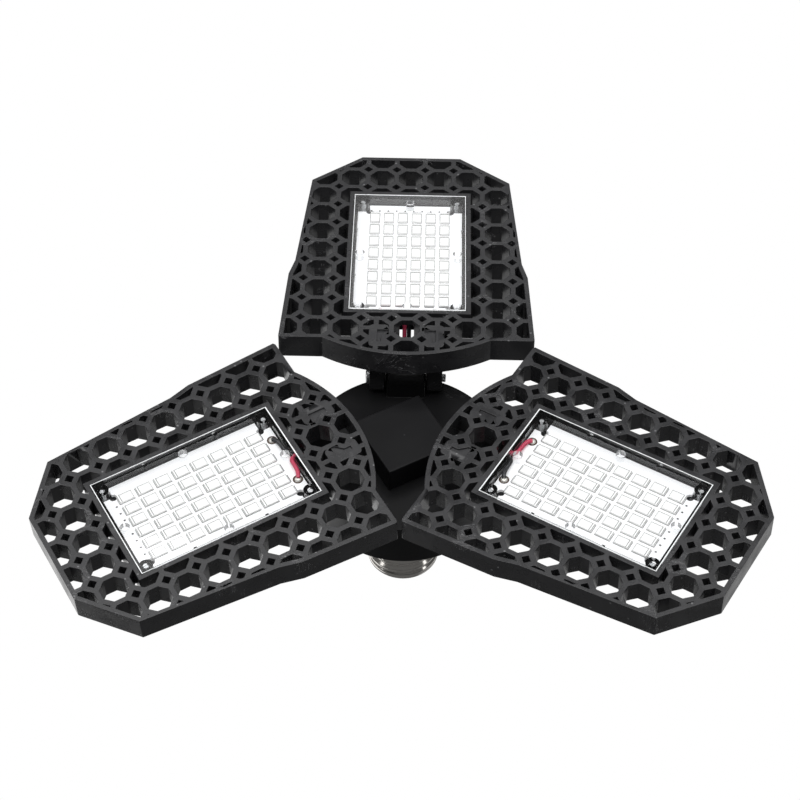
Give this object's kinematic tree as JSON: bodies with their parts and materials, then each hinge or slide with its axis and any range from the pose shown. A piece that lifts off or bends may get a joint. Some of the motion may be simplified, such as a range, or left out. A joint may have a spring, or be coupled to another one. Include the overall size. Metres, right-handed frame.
{
  "type": "folding LED grow light",
  "caption": "Plug-in LED grow light: a screw base carries a round hub, on which lattice panels with clear-covered light boards fold down on hinges.",
  "frame": {"origin": "on the lamp's axis, at the top of the screw shell, where it meets the housing's neck", "axes": "+Z along the lamp's axis from the screw base towards the lit faces, +Y along the far panel, +X to the right in the picture"},
  "size_m": [0.2388, 0.217, 0.0914],
  "materials": {
    "frame_black": "satin black paint on die-cast aluminium",
    "housing_black": "satin black moulded plastic",
    "insulator_black": "black insulating plastic",
    "clear_plastic": "clear moulded plastic",
    "board_white": "white solder mask on an aluminium board",
    "chip_white": "white light chips with a pale phosphor window",
    "heat_pad_grey": "soft heat-conducting sheet",
    "solder": "dull solder",
    "steel": "zinc-plated steel",
    "nickel": "nickel-plated brass",
    "lead_red": "red insulation",
    "lead_black": "black insulation",
    "board_green": "green fibre board",
    "capacitor_sleeve": "dark blue sleeve",
    "ferrite": "dark grey ferrite",
    "copper": "enamelled copper wire",
    "resistor_green": "coated resistor body"
  },
  "bodies": {
    "hub": {"screw_shell": "nickel", "shell_insulator": "insulator_black", "centre_contact": "nickel", "hub_housing": "housing_black", "hub_cover": "frame_black", "driver_cap": "housing_black", "driver_board": "board_green", "filter_capacitor": "capacitor_sleeve", "choke_core": "ferrite", "choke_winding": "copper", "bridge_rectifier": "insulator_black", "fusible_resistor": "resistor_green", "hub_screws": "steel", "live_lead": "lead_red", "neutral_lead": "lead_black", "hub_leads_red": "lead_red", "hub_leads_black": "lead_black"},
    "panel_1": {"panel_frame_1": "frame_black", "heat_pad_1": "heat_pad_grey", "led_board_1": "board_white", "light_chips_1": "chip_white", "solder_joints_1": "solder", "lens_cover_1": "clear_plastic", "cover_screws_1": "steel", "hinge_screw_1": "steel", "hinge_nut_1": "steel", "hinge_washers_1": "steel", "lead_red_1": "lead_red", "lead_black_1": "lead_black"},
    "panel_2": {"panel_frame_2": "frame_black", "heat_pad_2": "heat_pad_grey", "led_board_2": "board_white", "light_chips_2": "chip_white", "solder_joints_2": "solder", "lens_cover_2": "clear_plastic", "cover_screws_2": "steel", "hinge_screw_2": "steel", "hinge_nut_2": "steel", "hinge_washers_2": "steel", "lead_red_2": "lead_red", "lead_black_2": "lead_black"},
    "panel_3": {"panel_frame_3": "frame_black", "heat_pad_3": "heat_pad_grey", "led_board_3": "board_white", "light_chips_3": "chip_white", "solder_joints_3": "solder", "lens_cover_3": "clear_plastic", "cover_screws_3": "steel", "hinge_screw_3": "steel", "hinge_nut_3": "steel", "hinge_washers_3": "steel", "lead_red_3": "lead_red", "lead_black_3": "lead_black"}
  },
  "joints": [
    {"name": "panel_hinge_1", "type": "hinge", "parent": "hub", "child": "panel_1", "pos_m": [0, 0.0288, 0.0413], "axis": [-1, 0, 0], "range_deg": [-7.5, 83.7]},
    {"name": "panel_hinge_2", "type": "hinge", "parent": "hub", "child": "panel_2", "pos_m": [0.02494, -0.0144, 0.0413], "axis": [0.5, 0.866, 0], "range_deg": [0, 91.2]},
    {"name": "panel_hinge_3", "type": "hinge", "parent": "hub", "child": "panel_3", "pos_m": [-0.02494, -0.0144, 0.0413], "axis": [0.5, -0.866, 0], "range_deg": [-4.5, 86.7]}
  ]
}
